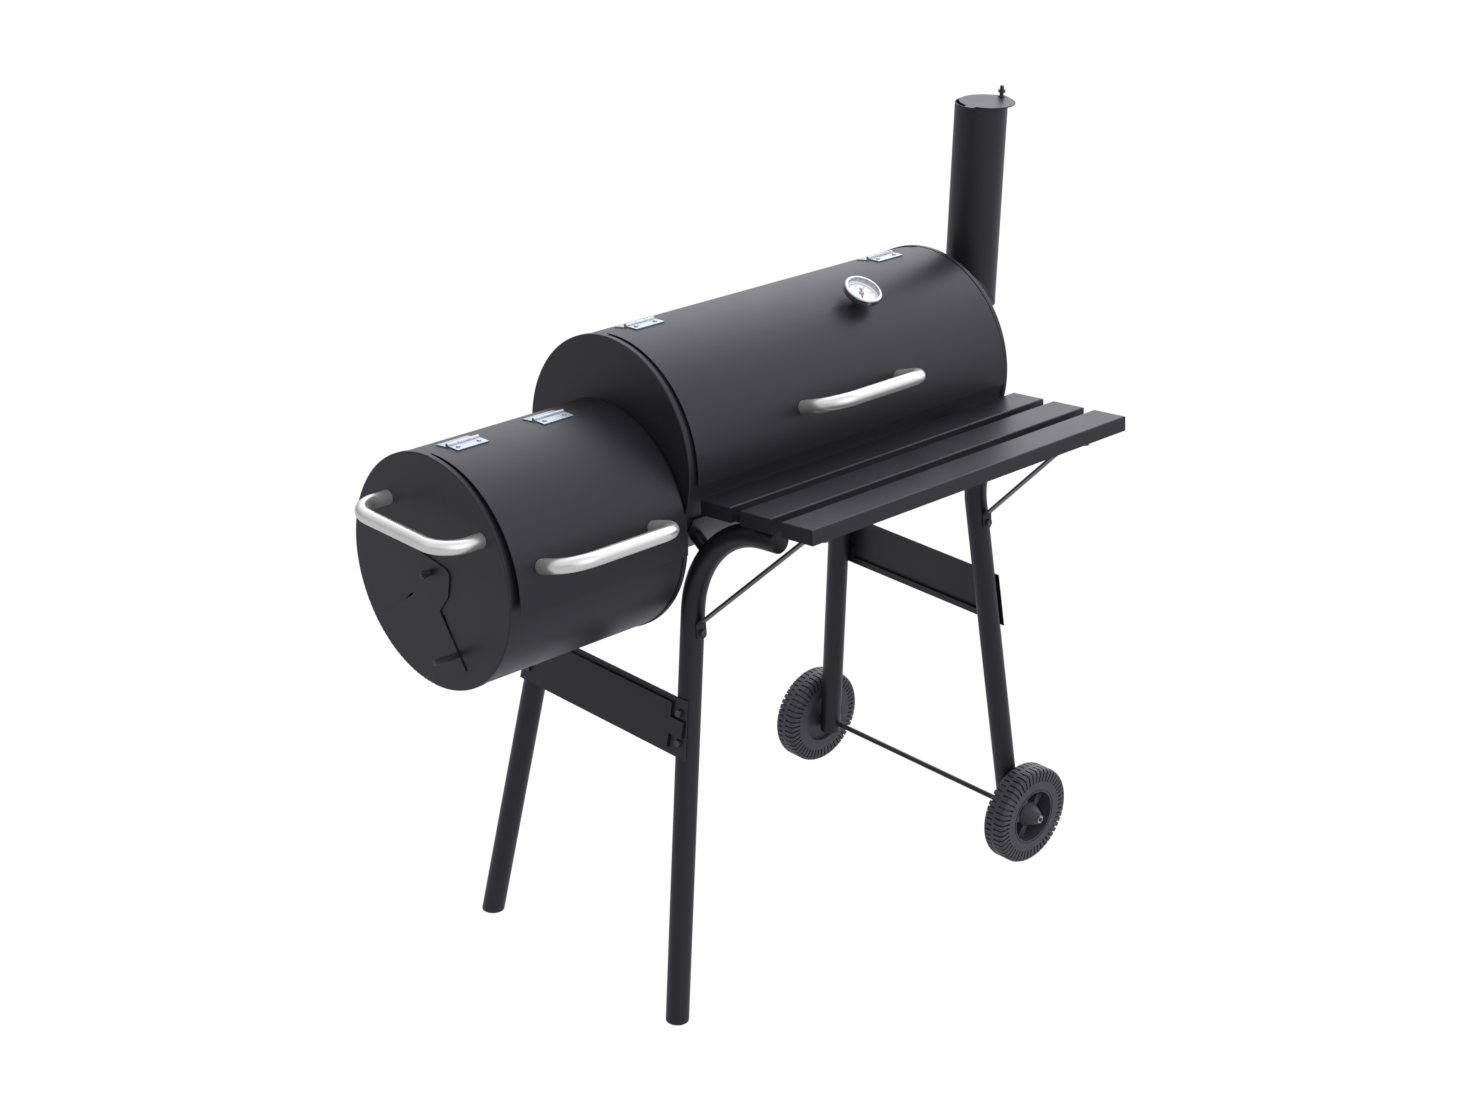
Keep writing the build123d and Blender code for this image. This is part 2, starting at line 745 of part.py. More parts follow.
def leg_foot_level(side):
    """Left legs end on the rims of their feet, right legs just below the axle."""
    return foot_rim if side > 0 else axle_height - leg_below_axle


def front_leg(foot_x, side):
    tube = front_leg_solid(foot_x, side, leg_radius) - front_leg_solid(
        foot_x, side, leg_radius - leg_wall, reach=leg_radius)
    tube = tube & above(leg_foot_level(side))
    if side < 0:
        tube -= axle_hole()
    return tube


def rear_leg(foot_x, side):
    tube = rear_leg_solid(foot_x, side, leg_radius) - rear_leg_solid(foot_x, side, leg_radius - leg_wall)
    tube = (tube & above(leg_foot_level(side))) - barrel_core(saddle_outer + seat_gap)
    if side < 0:
        tube -= axle_hole()
    return tube.solids().sort_by(SortBy.VOLUME)[-1]


def spacer_sleeve(foot_x, side):
    """A sleeve between the bend of a front leg and its saddle."""
    nearest, angle = front_saddle_place(foot_x, side)
    y, z = polar(saddle_outer - saddle_thickness, angle)
    inner = Vector(nearest.X, y, main_height + z)
    sleeve = rod(nearest, inner, sleeve_radius) - rod(nearest, inner, bolt_radius + bolt_fit)
    sleeve = sleeve - barrel_core(saddle_outer + seat_gap)
    sleeve = sleeve - front_leg_solid(foot_x, side, leg_radius + seat_gap)
    return sleeve.solids().sort_by(SortBy.VOLUME)[-1]


def leg_foot(y, towards, lean):
    """A moulded plug in the end of a left leg, with a rim that stands flat on the floor."""
    foot = Vector(left_foot_x, y, 0)
    up = leg_direction(1, lean, towards)
    rim = rod(foot - up * foot_depth, foot + up * foot_depth, leg_radius) & above(0)
    rim -= above(foot_rim)
    rim = fillet(rim.edges().group_by(Axis.Z)[0], foot_round)
    shank = rod(foot, foot + up * foot_depth, leg_radius - leg_wall - cap_fit) & above(foot_rim)
    return rim + shank


def arm_plugs():
    """Moulded plugs in the front ends of the table arms."""
    plugs = []
    for foot_x, side in leg_sides:
        tip = front_leg_points(foot_x, side)[-1]
        shank = rod(tip - table_forward * plug_depth, tip, leg_radius - leg_wall - cap_fit)
        head = rod(tip, tip + table_forward * plug_head, leg_radius)
        plugs.append(shank + head)
    return group(plugs)


# Table

def table_plane(x):
    """The table's top plane at its back edge, X along the slats and Y towards the barrel."""
    return Plane(origin=(x, table_edge_y, table_edge_height), x_dir=(1, 0, 0), z_dir=table_normal)


def slat(index):
    """A pressed tray, open below, with rounded top edges."""
    back = -index * (slat_width + slat_gap)
    corner = (Align.MIN, Align.MAX, Align.MAX)
    block = Pos(0, back, 0) * Box(slat_length, slat_width, slat_thickness, align=corner)
    block = fillet(block.edges().group_by(Axis.Z)[-1], slat_corner)
    hollow = Pos(slat_wall, back - slat_wall, -slat_wall) * Box(
        slat_length - 2 * slat_wall, slat_width - 2 * slat_wall, slat_thickness, align=corner)
    lip = Pos(0, back, -slat_thickness + slat_wall) * Box(slat_length, slat_width, slat_wall, align=corner)
    mouth = Pos(slat_wall, back - slat_lip, -slat_thickness + slat_wall) * Box(
        slat_length - 2 * slat_wall, slat_width - 2 * slat_lip, slat_wall, align=corner)
    return table_plane(table_left) * (block - hollow + (lip - mouth))


def arm_x(foot_x, side):
    return front_leg_points(foot_x, side)[-1].X


def slat_bar(foot_x, side):
    """A flat bar on the arm that the inner and middle slats are fastened to."""
    bar = Pos(0, 0, -slat_thickness) * Box(
        bar_width, carried_depth - 2 * bar_setback, bar_thickness, align=(Align.CENTER, Align.MAX, Align.MAX))
    return table_plane(arm_x(foot_x, side)) * Pos(0, -bar_setback, 0) * bar


def table_point(x, forward, level):
    """A point given by x and by its distances forward from the table's back edge and up from its top."""
    return Vector(x, 0, 0) + table_edge + table_forward * forward + table_normal * level


def strut_foot(foot_x, side):
    """The leg's x at the strut's bolt, and its front face and the bolt level in the table's own frame."""
    foot, start, corner, end, tip = front_leg_points(foot_x, side)
    up = (corner - foot).normalized()
    at_bolt = foot + up * (strut_bolt_height / up.Z)
    level = (at_bolt - table_edge).dot(table_normal)
    leg_face = (at_bolt - table_edge).dot(table_forward) + leg_radius + seat_gap
    return at_bolt.X, leg_face, level


def strut_bolt_planes(foot_x, side):
    """Planes on the outer faces of a strut's two tabs."""
    x, leg_face, level = strut_foot(foot_x, side)
    lower = table_point(x, leg_face + strut_thickness, level)
    upper = table_point(x + side * strut_lean, strut_end - strut_end_bolt, -slat_thickness - strut_thickness)
    return [Plane(origin=lower, z_dir=table_forward), Plane(origin=upper, z_dir=-table_normal)]


def strut(foot_x, side):
    """A flat bar with a tab on the leg, a length that leans sideways and a tab under the outer slat."""
    x, leg_face, level = strut_foot(foot_x, side)
    top_x = x + side * strut_lean
    under, leg_front = -slat_thickness, leg_face + strut_thickness
    bottom, bend = level - strut_tab_below, level + strut_tab_above
    fold = strut_end - strut_upper_tab
    rise = atan2(under - bend, fold - leg_face)
    lower = strut_thickness * tan((radians(90) - rise) / 2)
    upper = strut_thickness * tan(rise / 2)
    stations = [
        (x, (leg_face, bottom), (leg_front, bottom)),
        (x, (leg_face, bend), (leg_front, bend - lower)),
        (top_x, (fold, under), (fold + upper, under - strut_thickness)),
        (top_x, (strut_end, under), (strut_end, under - strut_thickness)),
    ]
    sections = []
    for middle, inner, outer in stations:
        left, right = middle - strut_width / 2, middle + strut_width / 2
        corners = [table_point(left, *inner), table_point(right, *inner),
                   table_point(right, *outer), table_point(left, *outer)]
        sections.append(make_face(Polyline(*corners, close=True)))
    bar = loft(sections, ruled=True)
    ends = bar.edges().filter_by(lambda edge: abs(edge.length - strut_thickness) < seat_gap / 10)
    bar = fillet(ends, strut_corner)
    for hole in strut_bolt_planes(foot_x, side):
        bar -= hole * Cylinder(bolt_radius + bolt_fit, 4 * strut_thickness)
    return bar


def strut_bolts():
    """Bolt heads on the tabs of both struts."""
    bolts = []
    for foot_x, side in leg_sides:
        for plane in strut_bolt_planes(foot_x, side):
            shank = Pos(0, 0, -strut_thickness) * Cylinder(bolt_radius, strut_thickness, align=bottom_centre)
            bolts.append(plane * (shank + hexagon(bolt_head_radius, bolt_head_height)))
    return group(bolts)


# Leg panels

def leg_y(height, towards):
    lean = front_lean if towards > 0 else rear_lean
    return -towards * (foot_half_width - height * tan(radians(lean)))


def panel_plane(foot_x, side):
    """The plane on the outer faces of a leg pair, X along Y and Y up the lean."""
    reach = leg_radius + seat_gap
    up = Vector(side * tan(radians(side_lean)), 0, 1).normalized()
    outward = Vector(-side * up.Z, 0, abs(up.X)).normalized()
    origin = Vector(foot_x, 0, 0) + outward * reach
    return Plane(origin=origin, x_dir=up.cross(outward), z_dir=outward), up


def panel_ends(plane, up, level, inset):
    """The two ends of the panel at a level up its slope, in the panel's own X."""
    height = level * up.Z
    ends = [leg_y(height, towards) for towards in (1, -1)]
    ends = sorted(y * plane.x_dir.Y for y in ends)
    return ends[0] - panel_margin + inset, ends[1] + panel_margin - inset


def leg_panel(foot_x, side):
    """A pressed sheet across a leg pair, with a raised field that steps back round its bolts."""
    plane, up = panel_plane(foot_x, side)
    low, high = panel_bottom / up.Z, panel_top / up.Z
    low_ends, high_ends = panel_ends(plane, up, low, 0), panel_ends(plane, up, high, 0)
    outline = make_face(Polyline((low_ends[0], low), (low_ends[1], low), (high_ends[1], high),
                                 (high_ends[0], high), close=True))

    def field(inset):
        bottom, top = low + panel_border + inset, high - panel_border - inset
        wide, narrow = panel_ends(plane, up, low, inset), panel_ends(plane, up, low, panel_notch + inset)
        step_low, step_high = low + panel_bolt_edge + panel_border + inset, high - panel_bolt_edge - panel_border - inset
        return make_face(Polyline(
            (narrow[0], bottom), (narrow[1], bottom), (narrow[1], step_low), (wide[1] - panel_border, step_low),
            (wide[1] - panel_border, step_high), (narrow[1], step_high), (narrow[1], top), (narrow[0], top),
            (narrow[0], step_high), (wide[0] + panel_border, step_high), (wide[0] + panel_border, step_low),
            (narrow[0], step_low), close=True))

    body = extrude(outline, panel_sheet) + extrude(field(0), panel_emboss)
    body -= extrude(field(panel_sheet), panel_emboss - panel_sheet)
    for place in panel_bolt_places(plane, up):
        body -= place * Cylinder(bolt_radius + bolt_fit, 4 * panel_sheet)
    return plane * body


def panel_bolt_places(plane, up):
    places = []
    for level in (panel_bottom / up.Z + panel_bolt_edge, panel_top / up.Z - panel_bolt_edge):
        for end in panel_ends(plane, up, level, panel_margin):
            places.append(Pos(end, level, 0))
    return places


def panel_bolts():
    bolts = []
    for foot_x, side in leg_sides:
        plane, up = panel_plane(foot_x, side)
        for place in panel_bolt_places(plane, up):
            head = Pos(0, 0, panel_sheet) * hexagon(bolt_head_radius, bolt_head_height)
            shank = Cylinder(bolt_radius, panel_sheet, align=bottom_centre)
            bolts.append(plane * place * (head + shank))
    return group(bolts)


# Wheels and axle

def shoulder_arc(radius, half, row):
    """The rounded edge of the tread on one side, as an arc round the shoulder's own centre."""
    r, z = wheel_radius - shoulder, row * (half - shoulder)
    slant = radius / sqrt(2)
    return ThreePointArc((r + radius, 0, z), (r + slant, 0, z + row * slant), (r, 0, z + row * radius))


def wheel_body():
    """A moulded wheel on the Z axis: slotted tread, a deep spoked face and a cone hub."""
    half = wheel_width / 2
    bore = axle_radius + axle_fit
    back = -half + hub_setback
    floor = back + web_thickness
    flank = half - shoulder
    profile = make_face([
        Polyline((wheel_radius - shoulder, 0, half), (rim_radius, 0, half), (rim_radius - dish_slope, 0, floor),
                 (hub_radius, 0, floor), (hub_radius, 0, hub_height), (hub_tip_radius, 0, half + hub_rise),
                 (bore, 0, half + hub_rise), (bore, 0, back), (rim_radius, 0, back), (rim_radius, 0, -half),
                 (wheel_radius - shoulder, 0, -half)),
        shoulder_arc(shoulder, half, -1),
        Line((wheel_radius, 0, -flank), (wheel_radius, 0, flank)),
        shoulder_arc(shoulder, half, 1),
    ])
    groove = Cylinder(rim_radius + 2 * groove_width, groove_width) - Cylinder(rim_radius + groove_width, groove_width)
    body = revolve(profile, Axis.Z) + wheel_spokes(floor - web_thickness / 2)
    return body - Pos(0, 0, half) * groove - tread_slots(half)


def wheel_spokes(foot):
    """Tapered spokes whose faces fall from the hub to the rim."""
    slope = make_face(Polyline((hub_tip_radius, 0, foot), (rim_radius, 0, foot), (rim_radius, 0, spoke_rim_level),
                               (hub_tip_radius, 0, spoke_hub_level), close=True))
    plan = make_face(Polyline(
        (hub_tip_radius, -spoke_hub_width / 2), (rim_radius, -spoke_rim_width / 2),
        (rim_radius, spoke_rim_width / 2), (hub_tip_radius, spoke_hub_width / 2), close=True))
    spoke = extrude(plan, wheel_width, both=True) & revolve(slope, Axis.Z)
    return [Rot(0, 0, spoke_turn + 360 / spoke_count * index) * spoke for index in range(spoke_count)]


def tread_slots(half):
    """Cross slots from the middle rib over each shoulder and down the side, half a pitch apart."""
    depth_line = half - tread_slot_depth
    bottom = wheel_radius - tread_slot_depth
    beyond = wheel_radius + tread_slot_depth
    skin = make_face([
        Line((bottom, 0, tread_rib / 2), (bottom, 0, half - shoulder)),
        shoulder_arc(shoulder - tread_slot_depth, half, 1),
        Polyline((wheel_radius - shoulder, 0, depth_line), (tread_slot_end, 0, depth_line),
                 (tread_slot_end, 0, wheel_width), (beyond, 0, wheel_width), (beyond, 0, tread_rib / 2),
                 (bottom, 0, tread_rib / 2)),
    ])
    slot = revolve(skin, Axis.Z) & Box(
        2 * wheel_radius, tread_slot_width, 2 * wheel_width, align=(Align.MIN, Align.CENTER, Align.CENTER))
    pitch = 360 / tread_slot_count
    slots = [Rot(0, 0, pitch * index) * slot for index in range(tread_slot_count)]
    other_row = Rot(0, 0, pitch / 2) * Rot(180, 0, 0)
    return slots + [other_row * part for part in slots]


def wheel(body, side):
    """The wheel on its end of the axle, face outwards."""
    return Pos(axle_x, side * wheel_centre_y, axle_height) * Rot(-90 * side, 0, 0) * body


def axle():
    """A rod with thinner threaded ends."""
    reach = axle_shoulder + axle_nut_height + axle_overhang
    shaft = rod((axle_x, -axle_shoulder, axle_height), (axle_x, axle_shoulder, axle_height), axle_radius)
    return shaft + rod((axle_x, -reach, axle_height), (axle_x, reach, axle_height), axle_thread_radius)


def axle_nuts():
    """A nut on each end of the axle, outside the wheel's hub."""
    nut = hexagon(axle_nut_radius, axle_nut_height) - Cylinder(axle_thread_radius, 4 * axle_nut_height)
    places = [Plane(origin=(axle_x, side * axle_shoulder, axle_height), z_dir=(0, side, 0)) for side in (-1, 1)]
    return group([place * nut for place in places])


# Grates

def grate(start, stop, half_width, level):
    """Straight wires welded on three cross wires."""
    count = int(2 * half_width / grate_pitch)
    low, high = start + sheet + grate_end_gap, stop - sheet - grate_end_gap
    inset = angle_leg + 2 * grate_wire
    edge, under = half_width + grate_wire, level - grate_wire
    wires = []
    for index in range(count + 1):
        y = -half_width + 2 * half_width * index / count
        wires.append(rod((low, y, level), (high, y, level), grate_wire))
    for x in (low + inset, (low + high) / 2, high - inset):
        wires.append(rod((x, -edge, under), (x, edge, under), grate_wire))
    return wires[0] + wires[1:]


def grate_angles(start, stop, half_width, level):
    """Short angles on both caps that carry a grate's wires."""
    top = level - grate_wire
    y = half_width - angle_length
    angles = []
    for x, inward in ((start + sheet, 1), (stop - sheet, -1)):
        for side in (-1, 1):
            shelf = Box(angle_leg, angle_length, angle_thickness, align=(Align.MIN, Align.CENTER, Align.MAX))
            back = Box(angle_thickness, angle_length, angle_leg, align=(Align.MIN, Align.CENTER, Align.MAX))
            place = Plane(origin=(x, side * y, top), x_dir=(inward, 0, 0), z_dir=(0, 0, 1))
            angles.append(place * (shelf + back))
    return group(angles)


# Assembly

leg_sides = ((left_foot_x, 1), (right_foot_x, -1))
pieces = {}

main_left_cap = end_cap(0, 1, main_height) - passage_cut()
main_right_cap = end_cap(main_length, -1, main_height)
main_right_cap -= rod((main_length - 2 * sheet, 0, chimney_stub_height),
                      (main_length + sheet, 0, chimney_stub_height), chimney_radius - chimney_wall)
main_right_cap -= collar_bolt_holes()
pieces["main_left_cap"] = main_left_cap
pieces["main_right_cap"] = main_right_cap
pieces["main_shell"] = barrel_shell(0, main_length, lids["main"])
pieces["firebox_left_cap"] = end_cap(firebox_face, 1, firebox_height) - damper_window()
pieces["firebox_right_cap"] = end_cap(0, -1, firebox_height) - passage_cut()
pieces["firebox_shell"] = barrel_shell(firebox_face, 0, lids["firebox"])
pieces["barrel_joint_bolts"] = joint_bolts()

lid_ends = {
    "main": (main_lid_inset, main_length - main_lid_inset),
    "firebox": (firebox_face + firebox_lid_inset, -firebox_lid_inset),
}
hinge_places = {
    "main": (main_left_hinge_inset, main_length - main_right_hinge_inset),
    "firebox": (firebox_face + firebox_left_hinge_inset, -firebox_right_hinge_inset),
}
handle_places = {
    "main": (main_length / 2 + main_handle_shift, main_handle_angle),
    "firebox": (firebox_face / 2 + firebox_handle_shift, firebox_handle_angle),
}
for barrel, lid in lids.items():
    lid_leaves, fixed_leaves, pins, rivets = [], [], [], []
    for x in hinge_places[barrel]:
        leaf, fixed, pin = hinge(lid, x)
        lid_leaves.append(leaf - rivet_holes(lid, x))
        fixed_leaves.append(fixed)
        pins.append(pin)
        rivets += lid_rivets(lid, x)
    pieces[barrel + "_lid"] = lid_sheet(lid, *lid_ends[barrel])
    pieces[barrel + "_hinge_lid_leaves"] = group(lid_leaves)
    pieces[barrel + "_hinge_fixed_leaves"] = group(fixed_leaves)
    pieces[barrel + "_hinge_pins"] = group(pins)
    pieces[barrel + "_lid_rivets"] = group(rivets)
    handle_x, handle_angle = handle_places[barrel]
    pieces[barrel + "_lid_handle"] = handle(radial(handle_x, handle_angle, lid.outer + seat_gap, lid.centre))
pieces["main_lid"] -= thermometer_plane * stem_hole()
pieces["carry_handle"] = handle(Plane(
    origin=(firebox_face, -carry_handle_forward, firebox_height + carry_handle_rise),
    x_dir=(0, 1, 0), z_dir=(-1, 0, 0)))

pieces["thermometer_case"] = thermometer_case()
pieces["thermometer_stem"] = thermometer_stem()
pieces["thermometer_dial"] = thermometer_dial()
pieces["thermometer_needle"] = thermometer_needle()
pieces["thermometer_glass"] = thermometer_glass()

pieces["chimney_pipe"] = chimney_pipe()
pieces["chimney_neck"] = chimney_neck()
pieces["chimney_collar_bolts"] = collar_bolts()
pieces["chimney_flap"] = chimney_flap()
pieces["chimney_flap_bolt"] = flap_bolt()

pieces["damper_plate"] = damper_plate()
pieces["damper_knob"] = damper_knob()
pieces["damper_pivot_bolt"] = damper_bolt()

for name, (foot_x, side) in zip(("left", "right"), leg_sides):
    pieces["front_" + name + "_leg"] = front_leg(foot_x, side)
    pieces["rear_" + name + "_leg"] = rear_leg(foot_x, side)
    nearest, front_angle = front_saddle_place(foot_x, side)
    meet, rear_angle = rear_saddle_place(foot_x, side)
    pieces[name + "_saddles"] = group([saddle(nearest.X, front_angle), saddle(meet.X, rear_angle)])
    pieces[name + "_leg_panel"] = leg_panel(foot_x, side)
    pieces[name + "_strut"] = strut(foot_x, side)
pieces["saddle_spacers"] = group([spacer_sleeve(foot_x, side) for foot_x, side in leg_sides])
pieces["slat_bars"] = group([slat_bar(foot_x, side) for foot_x, side in leg_sides])
pieces["left_feet"] = group([leg_foot(-foot_half_width, 1, front_lean), leg_foot(foot_half_width, -1, rear_lean)])
pieces["leg_panel_bolts"] = panel_bolts()
pieces["strut_bolts"] = strut_bolts()
pieces["arm_plugs"] = arm_plugs()
for index, name in enumerate(slat_names):
    pieces[name] = slat(index)

moulded_wheel = wheel_body()
pieces["front_wheel"] = wheel(moulded_wheel, -1)
pieces["rear_wheel"] = wheel(moulded_wheel, 1)
pieces["axle"] = axle()
pieces["axle_nuts"] = axle_nuts()

grates = {
    "cooking_grate": (0, main_length, cooking_grate_half_width, main_height - cooking_grate_drop),
    "charcoal_grate": (0, main_length, charcoal_grate_half_width, main_height - charcoal_grate_drop),
    "firebox_grate": (firebox_face, 0, firebox_grate_half_width, firebox_height - firebox_grate_drop),
}
for name, place in grates.items():
    pieces[name] = grate(*place)
pieces["grate_angles"] = group([grate_angles(*place) for place in grates.values()])

# The finished part stands with its origin on the floor under the middle of its box.
boxes = [piece.bounding_box() for piece in pieces.values()]
low = [min(getattr(box.min, axis) for box in boxes) for axis in "XYZ"]
high = [max(getattr(box.max, axis) for box in boxes) for axis in "XYZ"]
origin = Vector((low[0] + high[0]) / 2, (low[1] + high[1]) / 2, low[2])

if __name__ == "__main__":
    os.makedirs("parts", exist_ok=True)
    for name, piece in pieces.items():
        export_step(Pos(-origin.X, -origin.Y, -origin.Z) * piece, "parts/" + name + ".step")
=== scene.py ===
import json
import math

import bmesh
import bpy
from bpy.props import FloatProperty, FloatVectorProperty, PointerProperty, StringProperty
from mathutils import Matrix, Vector


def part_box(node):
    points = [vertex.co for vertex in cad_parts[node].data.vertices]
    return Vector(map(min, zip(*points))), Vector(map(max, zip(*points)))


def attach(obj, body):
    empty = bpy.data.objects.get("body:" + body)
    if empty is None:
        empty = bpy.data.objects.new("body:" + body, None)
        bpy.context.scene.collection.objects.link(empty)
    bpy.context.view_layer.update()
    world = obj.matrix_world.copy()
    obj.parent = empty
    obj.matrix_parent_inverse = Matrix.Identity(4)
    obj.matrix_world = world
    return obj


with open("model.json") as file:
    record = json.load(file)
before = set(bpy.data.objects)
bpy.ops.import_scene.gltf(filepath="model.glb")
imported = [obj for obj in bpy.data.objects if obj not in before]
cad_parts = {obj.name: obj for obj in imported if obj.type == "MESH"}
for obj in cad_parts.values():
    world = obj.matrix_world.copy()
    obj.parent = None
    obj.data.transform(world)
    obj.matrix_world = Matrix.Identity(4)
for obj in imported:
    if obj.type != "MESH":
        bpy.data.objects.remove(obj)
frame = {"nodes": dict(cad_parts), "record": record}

bl_info = {
    "name": "Offset Smoker",
    "version": (1, 0, 0),
    "blender": (4, 5, 0),
    "location": "3D View > Sidebar > Smoker",
    "description": "Dresses the offset smoker with its finishes, prints its dial and sets up the studio",
    "category": "Object",
}

MM = 0.001
# Each soft light: degrees to the camera's right of straight behind the object, degrees up, strength
STUDIO = ((0, 15, 0.49), (45, 15, 2.03), (135, 15, 1.52), (-135, 15, 0.40), (-90, 15, 0.25), (0, 52, 1.22),
          (90, 52, 0.20), (180, 52, 0.60), (-90, 52, 0.50))
LIGHT_SPREAD = 4.0
# The dial's scale runs clockwise from the first figure to the last
DIAL_FIGURES = (50, 100, 150, 200, 250, 300)
DIAL_SWEEP = 125.0
DIAL_TICKS = 51
TICKS_PER_FIGURE = 10
DIAL_TURN = -20.0
DIAL_RAISE = 0.45 * MM
# Radii of the dial's lines, ticks and figures
OUTER_LINE = (20.0 * MM, 20.6 * MM)
INNER_LINE = (10.5 * MM, 11.0 * MM)
SHORT_TICK = (18.6 * MM, 19.9 * MM)
LONG_TICK = (17.6 * MM, 19.9 * MM)
FIGURE_RADIUS = 14.4 * MM
FIGURE_SIZE = 3.6 * MM
TICK_HALF_ANGLE = 0.5
PRINT_THICKNESS = 0.05 * MM
# Faces that meet at a sharper angle than this keep a crisp edge
SHARP_ANGLE = math.radians(28)
FLOOR_REACH = 12.0
FLOOR_DROP = 0.5 * MM


# Colours and shader nodes

def linear(colour):
    """A hex colour on the screen scale as linear red, green, blue and alpha."""
    parts = [int(colour[i:i + 2], 16) / 255 for i in (1, 3, 5)]
    return [p / 12.92 if p <= 0.04045 else ((p + 0.055) / 1.055) ** 2.4 for p in parts] + [1.0]


def add(tree, kind, inputs=None, **settings):
    """Adds a shader node, sets its properties, and sets or links its inputs."""
    node = tree.nodes.new(kind)
    for key, value in settings.items():
        setattr(node, key, value)
    for key, value in (inputs or {}).items():
        if isinstance(value, bpy.types.NodeSocket):
            tree.links.new(value, node.inputs[key])
        else:
            node.inputs[key].default_value = value
    return node


def new_material(name):
    """An empty node material and its output."""
    material = bpy.data.materials.new(name)
    material.use_nodes = True
    material.node_tree.nodes.clear()
    return material, material.node_tree, add(material.node_tree, "ShaderNodeOutputMaterial")


def ramp(tree, value, low, high):
    """Maps a 0 to 1 value onto a range."""
    return add(tree, "ShaderNodeMapRange", {"Value": value, "To Min": low, "To Max": high}).outputs["Result"]


def satin_paint(name, colour, roughness, peel):
    """Sprayed satin paint: broad soft highlights, a fine orange peel and faint cloudy changes of gloss."""
    material, tree, out = new_material(name)
    place = add(tree, "ShaderNodeTexCoord").outputs["Object"]
    clouds = add(tree, "ShaderNodeTexNoise", {"Vector": place, "Scale": 1 / (60 * MM), "Detail": 3.0})
    grain = add(tree, "ShaderNodeTexNoise", {"Vector": place, "Scale": 1 / (1.1 * MM), "Detail": 2.0})
    bump = add(tree, "ShaderNodeBump", {"Height": grain.outputs["Fac"], "Strength": peel, "Distance": 0.1 * MM})
    gloss = ramp(tree, clouds.outputs["Fac"], roughness - 0.03, roughness + 0.03)
    shader = add(tree, "ShaderNodeBsdfPrincipled", {
        "Base Color": linear(colour), "Roughness": gloss, "Normal": bump.outputs["Normal"],
        "Specular IOR Level": 0.3})
    tree.links.new(shader.outputs["BSDF"], out.inputs["Surface"])
    return material


def zinc_plate(name, colour):
    """Bright zinc-plated steel: near white, with a faint bluish mottle from the plating bath."""
    material, tree, out = new_material(name)
    place = add(tree, "ShaderNodeTexCoord").outputs["Object"]
    mottle = add(tree, "ShaderNodeTexNoise", {"Vector": place, "Scale": 1 / (6 * MM), "Detail": 4.0})
    tint = add(tree, "ShaderNodeMix", {"Factor": mottle.outputs["Fac"], "A": linear(colour),
                                       "B": linear("#98a5ad")}, data_type="RGBA")
    gloss = ramp(tree, mottle.outputs["Fac"], 0.28, 0.45)
    shader = add(tree, "ShaderNodeBsdfPrincipled", {
        "Base Color": tint.outputs["Result"], "Metallic": 1.0, "Roughness": gloss})
    tree.links.new(shader.outputs["BSDF"], out.inputs["Surface"])
    return material


def brushed_stainless(name, colour):
    """Stainless tube polished round its girth: fine rings that streak the highlights."""
    material, tree, out = new_material(name)
    place = add(tree, "ShaderNodeTexCoord").outputs["Object"]
    streak = add(tree, "ShaderNodeTexNoise", {"Vector": place, "Scale": 1 / (1.6 * MM), "Detail": 4.0})
    gloss = ramp(tree, streak.outputs["Fac"], 0.24, 0.36)
    bump = add(tree, "ShaderNodeBump", {"Height": streak.outputs["Fac"], "Strength": 0.03, "Distance": 0.05 * MM})
    shader = add(tree, "ShaderNodeBsdfPrincipled", {
        "Base Color": linear(colour), "Metallic": 0.8, "Roughness": gloss, "Normal": bump.outputs["Normal"]})
    tree.links.new(shader.outputs["BSDF"], out.inputs["Surface"])
    return material


def moulded_plastic(name, colour, roughness):
    """Injection-moulded plastic: an even dull sheen with a fine spark-eroded grain."""
    material, tree, out = new_material(name)
    place = add(tree, "ShaderNodeTexCoord").outputs["Object"]
    grain = add(tree, "ShaderNodeTexNoise", {"Vector": place, "Scale": 1 / (0.8 * MM), "Detail": 2.0})
    bump = add(tree, "ShaderNodeBump", {"Height": grain.outputs["Fac"], "Strength": 0.25, "Distance": 0.1 * MM})
    shader = add(tree, "ShaderNodeBsdfPrincipled", {
        "Base Color": linear(colour), "Roughness": roughness, "Normal": bump.outputs["Normal"],
        "Specular IOR Level": 0.35})
    tree.links.new(shader.outputs["BSDF"], out.inputs["Surface"])
    return material


def plain(name, colour, roughness, metallic=0.0):
    """A smooth even finish, such as polish, enamel or print."""
    material, tree, out = new_material(name)
    shader = add(tree, "ShaderNodeBsdfPrincipled", {
        "Base Color": linear(colour), "Roughness": roughness, "Metallic": metallic})
    tree.links.new(shader.outputs["BSDF"], out.inputs["Surface"])
    return material


def pointer_lacquer(name, hub):
    """Lacquered sheet pointer: a dull red hub that turns dark along the blade."""
    material, tree, out = new_material(name)
    place = add(tree, "ShaderNodeTexCoord").outputs["Object"]
    reach = add(tree, "ShaderNodeVectorMath", {0: place, 1: hub}, operation="DISTANCE").outputs["Value"]
    along = add(tree, "ShaderNodeMapRange", {"Value": reach, "From Min": 5 * MM, "From Max": 7 * MM})
    tint = add(tree, "ShaderNodeMix", {"Factor": along.outputs["Result"], "A": linear("#8a2c22"),
                                       "B": linear("#2b2224")}, data_type="RGBA")
    shader = add(tree, "ShaderNodeBsdfPrincipled", {"Base Color": tint.outputs["Result"], "Roughness": 0.4})
    tree.links.new(shader.outputs["BSDF"], out.inputs["Surface"])
    return material


